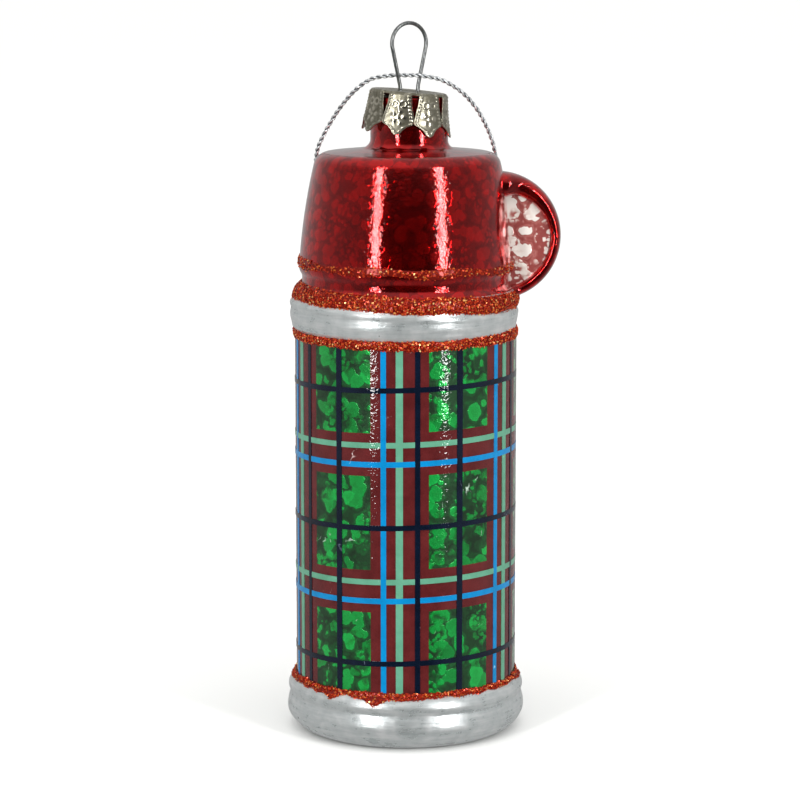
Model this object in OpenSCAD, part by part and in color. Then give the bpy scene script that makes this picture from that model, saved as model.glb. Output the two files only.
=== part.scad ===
// Blown-glass ornament in the form of a plaid vacuum flask with its drinking cup on.
// Millimetres. Z is up, the origin is the centre of the foot, -Y is the front and the
// cup's handle points along +X. Azimuths are measured from the front towards +X.

/* [Body] */
// Outer diameter of the bare glass body, under the wrap
body_d = 40.4; // [34:0.2:50]
// Height of the top edge of the silver base
base_top = 10.1; // [9.8:0.1:12]
// Height of the bottom edge of the silver collar
collar_bottom = 74.9; // [55:0.1:95]
// Wall of the blown glass
wall = 0.8; // [0.6:0.05:1]
// Thickness of the silver mirror coat inside
lining_t = 0.1; // [0.08:0.01:0.12]
// Thickness of the lacquer and of the silver paint
coat = 0.1; // [0.08:0.01:0.14]

/* [Base] */
// How far the lower bead of the base stands out from the body
base_bead_low = 1.64; // [1.2:0.02:2.2]
// How far the upper bead of the base stands out from the body
base_bead_high = 1.43; // [1:0.02:1.6]
// Height of the middle of the lower bead
base_bead_z = 4.65; // [4:0.05:5.2]

/* [Cup] */
// Height of the collar, from its bottom edge to its top edge
collar_h = 7.2; // [6.8:0.1:8]
// Height from the collar's bottom edge to the cup's shoulder corner
cup_h = 32.4; // [30:0.1:40]
// How far the cup's rim stands in from the body
rim_inset = 0.65; // [0.4:0.05:1]
// Radius of the curve that the cup's wall follows from rim to shoulder
cup_curve = 120; // [110:1:200]
// Radius of the shoulder corner
shoulder_r = 2.5; // [1.5:0.1:3.5]
// Slope of the cup's top, in degrees
shoulder_tilt = 5.5; // [3:0.5:8]

/* [Neck] */
// Outer diameter of the bare glass neck
neck_d = 13.1; // [12:0.1:14.4]
// Height of the neck above the shoulder corner
neck_h = 10.2; // [8.6:0.1:14]
// Radius of the fillet at the foot of the neck
neck_fillet = 1.6; // [1:0.1:2.2]

/* [Handle] */
// Outer radius of the D-shaped handle, seen from the front
handle_r = 11.7; // [10:0.1:12.4]
// How far the handle's centre stands in from the body's surface
handle_in = 3.5; // [2.5:0.1:5]
// Height of the handle's centre above the collar's bottom edge
handle_rise = 17.2; // [16:0.1:18.5]
// Radius of the rounded rim of the handle
rim_r = 1.4; // [1.2:0.05:1.6]
// Width of the handle, front to back
handle_w = 6; // [5:0.1:8]
// Thickness of the recessed web inside the rim
web_t = 2.6; // [2.4:0.1:3]

/* [Wrap] */
// Thickness of the clear film and of each layer of ink
ink = 0.1; // [0.08:0.01:0.14]
// Gap between the wrap's two edges at the back, in degrees
seam_gap = 1.5; // [0.5:0.1:4]
// Height over which the plaid repeats
plaid_h = 25; // [20:0.1:30]
// Angle over which the plaid repeats
plaid_a = 64.3; // [60:0.1:72]
// Slope of the plaid's level lines, in degrees
plaid_slope = 1.7; // [0:0.1:3]
// Height of the maroon bands
band_h = 7.8; // [6:0.1:9]
// Width of the maroon stripes, in degrees
stripe_a = 29.9; // [24:0.1:34]
// Width of the navy lines
navy_w = 0.95; // [0.7:0.05:1.2]
// Width of the navy line in the middle of the green windows
navy_window_w = 1.15; // [0.7:0.05:1.5]
// Width of the blue lines
blue_w = 1; // [0.7:0.05:1.2]
// Width of the mint lines that run up the body
mint_w = 1.3; // [0.9:0.05:1.5]
// Width of the level mint lines
mint_level_w = 1; // [0.7:0.05:1.2]

/* [Glitter] */
// How far the glitter stands out from what it is glued on
glitter_t = 0.45; // [0.3:0.05:0.6]
// Height of the band at the base
glitter_base_h = 2; // [1.6:0.1:2.4]
// Height of the band under the collar
glitter_collar_h = 1.7; // [1.4:0.1:2.2]
// Height of the band under the cup
glitter_cup_h = 2.4; // [1.8:0.1:3]
// Height of the line on the cup
glitter_line_h = 1.4; // [1:0.1:1.8]

/* [Cap] */
// Clearance between the neck and the petals' roots
cap_gap = 0.1; // [0.05:0.05:0.3]
// Thickness of its sheet metal
cap_t = 0.25; // [0.2:0.05:0.3]
// How far the cap leans to the right, in degrees
cap_lean = 5; // [0:0.5:6]
// Length of a petal
petal_l = 7.7; // [6:0.1:8.5]
// How far a petal's tip flares out from the disc's edge
petal_flare = 1.35; // [1.2:0.05:2]
// Width of a petal where it is widest
petal_w = 6; // [5:0.1:6.1]
// Diameter of the hanger's wire
wire_d = 0.7; // [0.6:0.05:0.8]
// Distance between the two wires where they pass the disc
wire_gap = 3.42; // [3.2:0.02:4]
// Lean of each wire above the disc, in degrees
wire_lean = 13.3; // [10:0.1:16]
// Radius of the eye, to the middle of the wire
eye_r = 3.65; // [3.5:0.05:5]
// Turn of the eye about the upright axis, in degrees
eye_turn = 32; // [28:1:60]
// How deep the two spring legs reach below the disc
leg_l = 24; // [15:0.5:30]
// Clearance between the spring legs' ends and the inside of the neck
leg_gap = 0.7; // [0.3:0.1:1.5]

/* [Cord] */
// Diameter of the cord
cord_d = 0.85; // [0.6:0.05:1]
// Diameter of its knot
knot_d = 2.6; // [2.2:0.1:3]
// Length of the two ends below the knot
tail_l = 5; // [3:0.5:12]

/* [Hidden] */
$fn = 64;
fine = 480;
far = 60;
bite = 0.5;
foot_z = coat;
body_r = body_d / 2;
collar_top = collar_bottom + collar_h;
corner_z = collar_bottom + cup_h;
neck_r = neck_d / 2;
neck_top = corner_z + neck_h;

// Base beads: round in section, the lower one level with the foot
bead_low_r = base_bead_z - foot_z;
bead_low_x = body_r + base_bead_low - bead_low_r;
bead_high_r = 2.1;
bead_high_x = body_r + base_bead_high - bead_high_r;
bead_high_z = base_top - 2;
bead_valley_r = body_r + 1.2;

// Collar beads: shallow arcs that stand proud of the body
collar_bead_out = 0.17;
collar_low_r = 5;
collar_low_z = collar_bottom + 2.8;
collar_high_r = 4;
collar_high_z = collar_bottom + 5.6;
groove_r = body_r - 1.24;

// Cup: its wall is an arc that starts just inside the rounded rim, and the corner arc
// touches it inside
cup_rim_z = collar_top + 4.5;
cup_rim_r = body_r - rim_inset;
cup_rim_round = 2.2;
cup_wall_in = 0.05;
cup_wall_z = cup_rim_z + 0.15;
cup_curve_z = cup_rim_z - 8.2;
cup_curve_x = cup_rim_r - cup_wall_in - sqrt(pow(cup_curve, 2) - pow(cup_rim_z - cup_curve_z, 2));
corner_cz = corner_z - shoulder_r;
corner_lift = asin((corner_cz - cup_curve_z) / (cup_curve - shoulder_r));
corner_cx = cup_curve_x + (cup_curve - shoulder_r) * cos(corner_lift);

// Foot of the neck: the fillet's centre is one radius from the neck and from the cup's top
fillet_x = neck_r + neck_fillet;
fillet_z = top_line(fillet_x, 0) + neck_fillet / cos(shoulder_tilt);

// Inside of the neck, under its mirror coat
bore_r = neck_r - wall - lining_t;
lining_end = 2;

// Handle
handle_x = body_r - handle_in;
handle_z = collar_bottom + handle_rise;
ring_r = handle_r - rim_r;

// Wrap: the film, then maroon and green, then the lines. The stripes' lines are placed by
// their azimuth from the stripe's middle, the bands' lines by their height from the band's
film_r = body_r + ink;
field_r = film_r + ink;
line_r = field_r + ink;
stripe_az = -3.05;
band_z = 29.7;
blue_az = -8.15;
mint_az = -0.05;
navy_az = 9.15;
navy_window_az = 31.55;
blue_z = -1.8;
mint_z = 1.7;
navy_z = -13.4;
repeats = [-3 : 3];
rows = [-1 : ceil(collar_bottom / plaid_h) - 1];

// Glitter: the line sits just above the cup's rim, the band on the collar's upper bead
glitter_line_z = cup_rim_z + 1;
glitter_cup_r = body_r - 0.15;

// Cap and hanger: the leaning disc clears the neck's edge at its lowest side
cap_r = neck_r + coat + cap_gap + cap_t;
cap_seat = 0.1;
disc_z = neck_top + cap_t / cos(cap_lean) + cap_r * sin(cap_lean) + cap_seat;
petals = 8;
petal_az = -12.5;
wire_r = wire_d / 2;
eye_z = disc_z + (eye_r / cos(wire_lean) - wire_gap / 2) / tan(wire_lean);
leg_spread = bore_r - wire_r - leg_gap;
bend_r = 1.12 * wire_r;
slot_l = wire_gap + 2.4 * wire_d;
slot_w = 2.2 * wire_d;

// Cord: from the eye over the right shoulder to the knot behind, and up over the left one
cord_sides = 8;
cord_route = [
    [0, 0, 121.3], [3.2, 0.1, 121.15], [6.8, 0.7, 120.3], [10.2, 1.6, 118.2],
    [13, 2.7, 115.1], [15.1, 3.8, 111.3], [16.4, 5.2, 107.4], [16.6, 7.8, 103.6],
    [15.8, 10.9, 99.2], [14.2, 14, 94.4], [12.3, 16.8, 89.2], [10.5, 18.9, 83.8],
    [9, 20.1, 78], [7.5, 20.7, 72], [5.7, 21.2, 66.4], [3.9, 21.6, 61.8],
    [2.5, 21.9, 58.9], [0, 22.2, 57.3], [-2.5, 21.9, 58.9], [-3.9, 21.6, 61.8],
    [-5.7, 21.2, 66.4], [-7.5, 20.7, 72], [-9, 20.1, 78], [-10.5, 18.9, 83.8],
    [-12.3, 16.8, 89.2], [-14.2, 14, 94.4], [-15.7, 10.9, 99.2], [-16.6, 7.9, 103.7],
    [-16.2, 5.2, 107.6], [-14.4, 3.8, 111.4], [-12.1, 2.7, 115.1], [-9.4, 1.6, 118.3],
    [-6.4, 0.7, 120.5], [-3.1, 0.1, 121.2]
];
knot_at = [0, 22.6, 56.6];

// ---- Glass form ----

// Height of the cup's top at radius x, on a surface moved out by grow
function top_line(x, grow) =
    corner_cz + (shoulder_r + grow) / cos(shoulder_tilt) + (corner_cx - x) * tan(shoulder_tilt);

module base_section(grow) {
    translate([bead_low_x, base_bead_z]) circle(r = bead_low_r + grow);
    translate([0, foot_z - grow]) square([bead_low_x, bead_low_r + grow]);
    translate([bead_high_x, bead_high_z]) circle(r = bead_high_r + grow);
    translate([0, base_bead_z]) square([bead_valley_r + grow, bead_high_z - base_bead_z]);
}

module collar_section(grow) {
    translate([body_r + collar_bead_out - collar_low_r, collar_low_z]) circle(r = collar_low_r + grow);
    translate([body_r + collar_bead_out - collar_high_r, collar_high_z]) circle(r = collar_high_r + grow);
    translate([0, collar_high_z]) square([groove_r + grow, cup_rim_z - collar_high_z + bite]);
}

module cup_section(grow) {
    wall_end = corner_cz + (shoulder_r + grow) * sin(corner_lift);
    translate([cup_rim_r - cup_rim_round, cup_rim_z]) circle(r = cup_rim_round + grow);
    intersection() {
        translate([cup_curve_x, cup_curve_z]) circle(r = cup_curve + grow, $fn = fine);
        translate([0, cup_wall_z]) square([far, wall_end - cup_wall_z]);
    }
    translate([corner_cx, corner_cz]) circle(r = shoulder_r + grow);
    touch_x = corner_cx + (shoulder_r + grow) * sin(shoulder_tilt);
    polygon([
        [0, cup_rim_z], [corner_cx, cup_rim_z], [corner_cx, corner_cz],
        [touch_x, top_line(touch_x, grow)], [0, top_line(0, grow)]
    ]);
}

module neck_section(grow) {
    top = grow < 0 ? neck_top + bite : neck_top;
    round = neck_fillet - grow;
    touch_x = fillet_x - round * sin(shoulder_tilt);
    translate([0, corner_cz]) square([neck_r + grow, top - corner_cz]);
    difference() {
        translate([0, corner_cz]) square([touch_x, fillet_z - corner_cz]);
        translate([fillet_x, fillet_z]) circle(r = round);
    }
}

// Right half of the turned form's section, its surface moved out by grow
module flask_section(grow) {
    intersection() {
        translate([0, -far]) square([far, 4 * far]);
        union() {
            base_section(grow);
            translate([0, base_bead_z]) square([body_r + grow, collar_high_z - base_bead_z]);
            collar_section(grow);
            cup_section(grow);
            neck_section(grow);
        }
    }
}

module flask(grow) {
    rotate_extrude() flask_section(grow);
}

// The rounded rim of the handle: a flat-sided ring that lies in the XZ plane
module handle_rim(grow) {
    flat = handle_w / 2 - rim_r;
    translate([handle_x, 0, handle_z]) rotate([90, 0, 0]) rotate_extrude() {
        for (side = [-1, 1]) translate([ring_r, side * flat]) circle(r = rim_r + grow);
        translate([ring_r - rim_r - grow, -flat]) square([2 * (rim_r + grow), 2 * flat]);
    }
}

module handle_web(grow) {
    thick = web_t + 2 * grow;
    translate([handle_x, thick / 2, handle_z]) rotate([90, 0, 0]) cylinder(r = ring_r, h = thick);
}

// ---- Blown glass and the coats on it ----

module glass_body() {
    color("#8d3a3a")
    difference() {
        union() {
            flask(0);
            handle_rim(0);
            handle_web(0);
        }
        union() {
            flask(-wall);
            handle_rim(-wall);
            handle_web(-wall);
        }
    }
}

module mirror_lining() {
    color("#c9ccd0")
    difference() {
        union() {
            flask(-wall);
            handle_rim(-wall);
            handle_web(-wall);
        }
        union() {
            flask(-wall - lining_t);
            handle_rim(-wall - lining_t);
            handle_web(-wall - lining_t);
        }
        translate([-far, -far, neck_top - lining_end]) cube(2 * far);
    }
}

module red_lacquer() {
    color("#8a1218")
    difference() {
        union() {
            difference() {
                flask(coat);
                translate([-far, -far, collar_top - 2 * far]) cube(2 * far);
            }
            handle_rim(coat);
        }
        flask(0);
        handle_rim(0);
        handle_web(0);
    }
}

// The coat that covers the glass between two heights
module silver_coat(low, high) {
    difference() {
        intersection() {
            flask(coat);
            translate([0, 0, low]) cylinder(r = far, h = high - low);
        }
        flask(0);
    }
}

module silver_collar_coat() {
    color("#aeb4b6")
    difference() {
        silver_coat(collar_bottom, collar_top);
        handle_rim(coat);
    }
}

module silver_base_coat() {
    color("#aeb4b6") silver_coat(-bite, base_top);
}

// ---- Plaid wrap ----

// A thin tube round the body, open at the back along the seam
module wrap_tube(inner, outer) {
    difference() {
        translate([0, 0, base_top]) cylinder(r = outer, h = collar_bottom - base_top);
        translate([0, 0, base_top - bite]) cylinder(r = inner, h = collar_bottom - base_top + 2 * bite);
        sector(180 - seam_gap / 2, 180 + seam_gap / 2);
    }
}

// Turns +X to an azimuth
module at_azimuth(az) {
    rotate([0, 0, az - 90]) children();
}

// An upright prism over the sector between two azimuths
module sector(from, to) {
    reach = far * tan((to - from) / 2);
    at_azimuth((from + to) / 2) translate([0, 0, -far]) linear_extrude(height = 3 * far)
        polygon([[0, 0], [far, -reach], [far, reach]]);
}

// A line up the wrap, left out where it would fall past the seam
module upright_line(az, w) {
    if (abs(az) < 180) at_azimuth(az) translate([0, -w / 2, 0]) cube([far, w, 2 * far]);
}

module level_line(z, w) {
    translate([0, 0, z]) rotate([0, -plaid_slope, 0]) translate([-far, -far, -w / 2]) cube([2 * far, 2 * far, w]);
}

// The maroon stripes and bands, as far as they reach
module maroon_field() {
    for (k = repeats) {
        from = max(-180, stripe_az + k * plaid_a - stripe_a / 2);
        to = min(180, stripe_az + k * plaid_a + stripe_a / 2);
        if (from < to) sector(from, to);
    }
    for (row = rows) level_line(band_z + row * plaid_h, band_h);
}

module navy_lines() {
    for (k = repeats) {
        upright_line(stripe_az + navy_az + k * plaid_a, navy_w);
        upright_line(stripe_az + navy_window_az + k * plaid_a, navy_window_w);
    }
    for (row = rows) level_line(band_z + navy_z + row * plaid_h, navy_w);
}

module blue_lines() {
    for (k = repeats) upright_line(stripe_az + blue_az + k * plaid_a, blue_w);
    for (row = rows) level_line(band_z + blue_z + row * plaid_h, blue_w);
}

module mint_lines() {
    for (k = repeats) upright_line(stripe_az + mint_az + k * plaid_a, mint_w);
    for (row = rows) level_line(band_z + mint_z + row * plaid_h, mint_level_w);
}

module clear_film() {
    color("#dfe6e2") wrap_tube(body_r, film_r);
}

module maroon_print() {
    color("#5e2426")
    intersection() {
        wrap_tube(film_r, field_r);
        union() maroon_field();
    }
}

module green_print() {
    color("#0c6a2a")
    difference() {
        wrap_tube(film_r, field_r);
        maroon_field();
    }
}

module mint_print() {
    color("#6fb896")
    difference() {
        intersection() {
            wrap_tube(field_r, line_r);
            union() mint_lines();
        }
        blue_lines();
        navy_lines();
    }
}

module blue_print() {
    color("#0a9ae0")
    difference() {
        intersection() {
            wrap_tube(field_r, line_r);
            union() blue_lines();
        }
        navy_lines();
    }
}

module navy_print() {
    color("#0b1830")
    intersection() {
        wrap_tube(field_r, line_r);
        union() navy_lines();
    }
}

// ---- Glitter ----

// A glued ridge of glitter of height h, centred at height z on a surface of radius r
module glitter_ridge(z, h, r) {
    round = (h * h / 4 + glitter_t * glitter_t) / (2 * glitter_t);
    color("#a02812")
    difference() {
        rotate_extrude() difference() {
            intersection() {
                translate([r + glitter_t - round, z]) circle(r = round);
                translate([r - 2, z - h / 2]) square([4, h]);
            }
            flask_section(coat);
            square([line_r, collar_bottom]);
        }
        handle_rim(coat);
        handle_web(0);
    }
}

module glitter_line_cup() {
    glitter_ridge(glitter_line_z, glitter_line_h, cup_rim_r);
}

module glitter_band_under_cup() {
    glitter_ridge(collar_top, glitter_cup_h, glitter_cup_r);
}

module glitter_band_under_collar() {
    glitter_ridge(collar_bottom, glitter_collar_h, line_r);
}

module glitter_band_base() {
    glitter_ridge(base_top, glitter_base_h, line_r);
}

// ---- Cap and hanger ----

// Half a petal's outline, as shares of its half width and its length
petal_edge = [
    [0.64, 0], [0.72, 0.28], [0.88, 0.52], [1, 0.68], [0.96, 0.76], [0.6, 0.82], [0.34, 0.87]
];

module petal_outline() {
    right = [for (p = petal_edge) [p[0] * petal_w / 2, -p[1] * petal_l]];
    left = [for (i = [len(right) - 1 : -1 : 0]) [-right[i][0], right[i][1]]];
    polygon(concat(right, [[0, -petal_l]], left));
}

module cap_crown() {
    color("#b9b199")
    translate([0, 0, disc_z]) rotate([0, cap_lean, 0]) {
        difference() {
            translate([0, 0, -cap_t]) cylinder(r = cap_r, h = cap_t);
            rotate([0, 0, eye_turn]) translate([-slot_l / 2, -slot_w / 2, -1]) cube([slot_l, slot_w, 2]);
        }
        intersection() {
            rotate_extrude() polygon([
                [cap_r, 0], [cap_r + petal_flare, -petal_l],
                [cap_r + petal_flare - cap_t, -petal_l], [cap_r - cap_t, 0]
            ]);
            for (i = [0 : petals - 1]) at_azimuth(petal_az + i * 360 / petals)
                rotate([90, 0, 90]) linear_extrude(height = 2 * cap_r) petal_outline();
        }
    }
}

// A straight piece of wire from point a to point b
module wire(a, b) {
    d = b - a;
    translate(a) rotate([0, acos(d[2] / norm(d)), atan2(d[1], d[0])]) cylinder(r = wire_r, h = norm(d));
}

module hanger_wire() {
    color("#8f9296")
    rotate([0, 0, eye_turn]) {
        for (side = [-1, 1]) {
            tip = [side * leg_spread, 0, disc_z - leg_l];
            waist = [side * wire_gap / 2, 0, disc_z];
            touch = [side * eye_r * cos(wire_lean), 0, eye_z - eye_r * sin(wire_lean)];
            wire(tip, waist);
            wire(waist, touch);
            for (bend = [waist, touch]) translate(bend) sphere(r = bend_r);
        }
        translate([0, 0, eye_z]) rotate([90, 0, 0]) rotate([0, 0, -wire_lean])
            rotate_extrude(angle = 180 + 2 * wire_lean) translate([eye_r, 0]) circle(r = wire_r);
    }
}

// ---- Cord ----

// Smooth curve through a closed list of points, at step s between point i and the next
function at(points, i) = points[(i + len(points)) % len(points)];
function smooth(p0, p1, p2, p3, s) =
    p1 + s * (p2 - p0) / 2 + s * s * (p0 - 2.5 * p1 + 2 * p2 - 0.5 * p3)
    + s * s * s * (1.5 * (p1 - p2) + (p3 - p0) / 2);
function curve(points, steps) = [
    for (i = [0 : len(points) - 1], k = [0 : steps - 1])
        smooth(at(points, i - 1), at(points, i), at(points, i + 1), at(points, i + 2), k / steps)
];

function unit(v) = v / norm(v);

// One ring of points round the curve at p, square to direction t. The ring starts from
// the direction that points away from the middle of the loop, so no ring is twisted
function ring(p, t, middle) =
    let (out = p - middle, side = unit(cross(t, out)), up = cross(side, t))
    [for (k = [0 : cord_sides - 1]) let (a = 360 * k / cord_sides)
        p + cord_d / 2 * (cos(a) * up + sin(a) * side)];

module loop_tube(points) {
    n = len(points);
    m = cord_sides;
    middle = [0, 8, 90];
    rings = [for (i = [0 : n - 1]) ring(points[i], unit(at(points, i + 1) - at(points, i - 1)), middle)];
    faces = [for (i = [0 : n - 1], k = [0 : m - 1]) let (j = (i + 1) % n, l = (k + 1) % m)
        [i * m + k, i * m + l, j * m + l, j * m + k]];
    polyhedron(points = [for (r = rings, p = r) p], faces = faces);
}

module hang_cord() {
    color("#9aa0a4") loop_tube(curve(cord_route, 2));
}

module cord_knot() {
    color("#9aa0a4")
    translate(knot_at) {
        sphere(d = knot_d);
        for (lean = [-14, 9]) rotate([0, lean, 0]) translate([0, 0, -tail_l - knot_d / 2])
            cylinder(d = cord_d, h = tail_l + knot_d / 2);
    }
}

glass_body();
mirror_lining();
red_lacquer();
silver_collar_coat();
silver_base_coat();
clear_film();
maroon_print();
green_print();
mint_print();
blue_print();
navy_print();
glitter_line_cup();
glitter_band_under_cup();
glitter_band_under_collar();
glitter_band_base();
cap_crown();
hanger_wire();
hang_cord();
cord_knot();
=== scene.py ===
# %% [markdown]
# # A blown-glass flask ornament
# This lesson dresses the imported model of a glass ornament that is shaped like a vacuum
# flask in a plaid wrap. The frame gives every part in its true place, in metres, with Z up,
# the origin under the foot and the front facing -Y. We read the frame first, because every
# piece made later is tied to one of its bodies and compared with its sizes.

# %% Load the frame
import math

import bmesh
import bpy
import numpy as np
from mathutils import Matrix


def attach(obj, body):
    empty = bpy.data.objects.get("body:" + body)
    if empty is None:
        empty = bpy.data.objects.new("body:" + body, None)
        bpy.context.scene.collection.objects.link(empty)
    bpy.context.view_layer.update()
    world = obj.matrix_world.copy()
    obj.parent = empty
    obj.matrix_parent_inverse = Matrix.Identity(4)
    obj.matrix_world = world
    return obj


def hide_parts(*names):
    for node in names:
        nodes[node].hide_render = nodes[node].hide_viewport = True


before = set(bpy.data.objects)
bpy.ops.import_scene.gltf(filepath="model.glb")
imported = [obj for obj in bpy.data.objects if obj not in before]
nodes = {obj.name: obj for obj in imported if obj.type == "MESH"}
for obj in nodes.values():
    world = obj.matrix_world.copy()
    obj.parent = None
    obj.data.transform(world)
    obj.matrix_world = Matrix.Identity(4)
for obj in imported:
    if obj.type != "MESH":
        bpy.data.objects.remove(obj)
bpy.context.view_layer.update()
MM = 0.001

# %% [markdown]
# ## Camera
# A small product is best seen from a little above with a long lens, so that the round foot
# and rim read as flat ovals and the upright sides stay nearly parallel. A camera could track
# an empty, but a place and an angle worked out from one distance are easier to follow. It
# looks at the middle of the flask from 553 mm away and 9 degrees up.

# %% Camera
view_distance = 0.553
view_rise = math.radians(9)
view_target = 0.060
camera_data = bpy.data.cameras.new("studio_camera")
camera_data.lens = 134.3
camera_data.sensor_width = 36
camera_data.shift_x = -0.0069
camera_data.shift_y = 0.0096
camera_data.clip_end = 100
camera = bpy.data.objects.new("studio_camera", camera_data)
camera.location = (
    0, -view_distance * math.cos(view_rise), view_target + view_distance * math.sin(view_rise))
camera.rotation_euler = (math.pi / 2 - view_rise, 0, 0)
bpy.context.scene.collection.objects.link(camera)
bpy.context.scene.camera = camera
print("camera at", [round(v, 3) for v in camera.location])

# %% [markdown]
# ## Helpers for surfaces
# Every new piece here is a grid of points worked out with numpy and joined by quads. The
# helpers below join a grid, close a sheet into a thin solid or a tube at its ends, and hand
# the result to Blender. Modifiers could do some of this, but a grid shows its own formula.

# %% Join grids of points
def quads(rows, columns, wrap_rows=False, wrap_columns=False, start=0):
    """Quads of a grid: corner (i, j) joins (i, j + 1), (i + 1, j + 1) and (i + 1, j), and the
    last row or column joins the first where it wraps.
    """
    i, j = np.meshgrid(
        np.arange(rows if wrap_rows else rows - 1),
        np.arange(columns if wrap_columns else columns - 1), indexing="ij")
    below, beside = (i + 1) % rows, (j + 1) % columns
    corners = [i * columns + j, i * columns + beside, below * columns + beside, below * columns + j]
    return np.stack(corners, -1).reshape(-1, 4) + start


def tube_faces(rows, columns, start=0):
    """Quads round a tube whose rows are its sections, and one face across each of its ends."""
    first = list(range(start, start + columns))
    last = [k + (rows - 1) * columns for k in first]
    return quads(rows, columns, False, True, start).tolist() + [first, last[::-1]]


def sheet_solid(outer, inner, wrap_rows=False, closed_start=False):
    """A thin solid between two grids of the same size: both faces, and strips that join their
    open borders. With closed_start the first column is a pole on each face and gets no strip.
    """
    rows, columns, _ = outer.shape
    count = rows * columns
    front = quads(rows, columns, wrap_rows)
    back = quads(rows, columns, wrap_rows, start=count)[:, ::-1]
    index = np.arange(count).reshape(rows, columns)
    if wrap_rows:
        first = np.append(index[:, 0], index[0, 0])[::-1]
        last = np.append(index[:, -1], index[0, -1])
        borders = [last] if closed_start else [first, last]
    else:
        walk = [index[0], index[1:, -1], index[-1, -2::-1], index[-2:0:-1, 0], index[0, :1]]
        borders = [np.concatenate(walk)[::-1]]
    strips = [np.stack([e[:-1], e[1:], e[1:] + count, e[:-1] + count], -1) for e in borders]
    points = np.concatenate([outer.reshape(-1, 3), inner.reshape(-1, 3)])
    return points, np.concatenate([front, back] + strips)


def unit(v):
    """Each vector divided by its length."""
    return v / np.linalg.norm(v, axis=-1, keepdims=True)

# %% Hand a surface to Blender
def new_piece(name, points, faces, body, stands_for, weld=False, values=None):
    """Makes a piece from points in millimetres and faces, turns its faces outwards, and ties it
    to a body. values are numbers for each point, which a finish can read.
    """
    mesh = bpy.data.meshes.new(name)
    corners = faces if isinstance(faces, list) else faces.tolist()
    mesh.from_pydata((np.asarray(points) * MM).tolist(), [], corners)
    for key, numbers in (values or {}).items():
        mesh.attributes.new(key, "FLOAT", "POINT").data.foreach_set("value", np.asarray(numbers, np.float32))
    work = bmesh.new()
    work.from_mesh(mesh)
    if weld:
        bmesh.ops.remove_doubles(work, verts=work.verts, dist=1e-7)
    bmesh.ops.recalc_face_normals(work, faces=work.faces)
    work.to_mesh(mesh)
    work.free()
    mesh.polygons.foreach_set("use_smooth", np.ones(len(mesh.polygons), bool))
    piece = bpy.data.objects.new(name, mesh)
    bpy.context.scene.collection.objects.link(piece)
    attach(piece, body)
    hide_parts(*stands_for)
    size = np.ptp(np.asarray(points), axis=0)
    print(name, len(mesh.vertices), "points,", len(mesh.polygons), "faces,", np.round(size, 1), "mm")
    return piece

# %% [markdown]
# ## Hanging cord
# The ornament hangs from a loop of silver cord, two plies of metallised thread twisted
# together. It is limp: it leaves the wire eye, arches over both shoulders, lies down the
# back and ends in one knot. It could be a curve with a round bevel, but a round tube never
# shows the twist, so the two-lobed section is turned as it travels along the loop.

# %% Route of the cord
cord_d = 0.85
# The loop's way round, in order from the eye: over the right shoulder, down to the knot and back
cord_route = np.array([
    [0, 0, 121.3], [3.2, 0.1, 121.15], [6.8, 0.7, 120.3], [10.2, 1.6, 118.2],
    [13, 2.7, 115.1], [15.1, 3.8, 111.3], [16.4, 5.2, 107.4], [16.6, 7.8, 103.6],
    [15.8, 10.9, 99.2], [14.2, 14, 94.4], [12.3, 16.8, 89.2], [10.5, 18.9, 83.8],
    [9, 20.1, 78], [7.5, 20.7, 72], [5.7, 21.2, 66.4], [3.9, 21.6, 61.8],
    [2.5, 21.9, 58.9], [0, 22.2, 57.3], [-2.5, 21.9, 58.9], [-3.9, 21.6, 61.8],
    [-5.7, 21.2, 66.4], [-7.5, 20.7, 72], [-9, 20.1, 78], [-10.5, 18.9, 83.8],
    [-12.3, 16.8, 89.2], [-14.2, 14, 94.4], [-15.7, 10.9, 99.2], [-16.6, 7.9, 103.7],
    [-16.2, 5.2, 107.6], [-14.4, 3.8, 111.4], [-12.1, 2.7, 115.1], [-9.4, 1.6, 118.3],
    [-6.4, 0.7, 120.5], [-3.1, 0.1, 121.2]])
knot_at = np.array([0, 22.6, 56.6])


def smooth_loop(points, steps):
    """Closed Catmull-Rom curve: between two points it follows the cubic that passes both, each
    along the direction from the point before it to the point after it.
    """
    s = (np.arange(steps) / steps)[None, :, None]
    p0, p1, p2, p3 = (np.roll(points, k, 0)[:, None, :] for k in (1, 0, -1, -2))
    line = (p1 + s * (p2 - p0) / 2 + s**2 * (p0 - 2.5 * p1 + 2 * p2 - 0.5 * p3)
            + s**3 * (1.5 * (p1 - p2) + (p3 - p0) / 2))
    return line.reshape(-1, 3)


cord_line = smooth_loop(cord_route, 32)

# %% Two-ply tube
ply_pitch = 2.4  # the length of cord in which the plies make a full turn
ply_r = 0.24 / 0.85 * cord_d
ply_out = cord_d / 2 - ply_r


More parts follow.
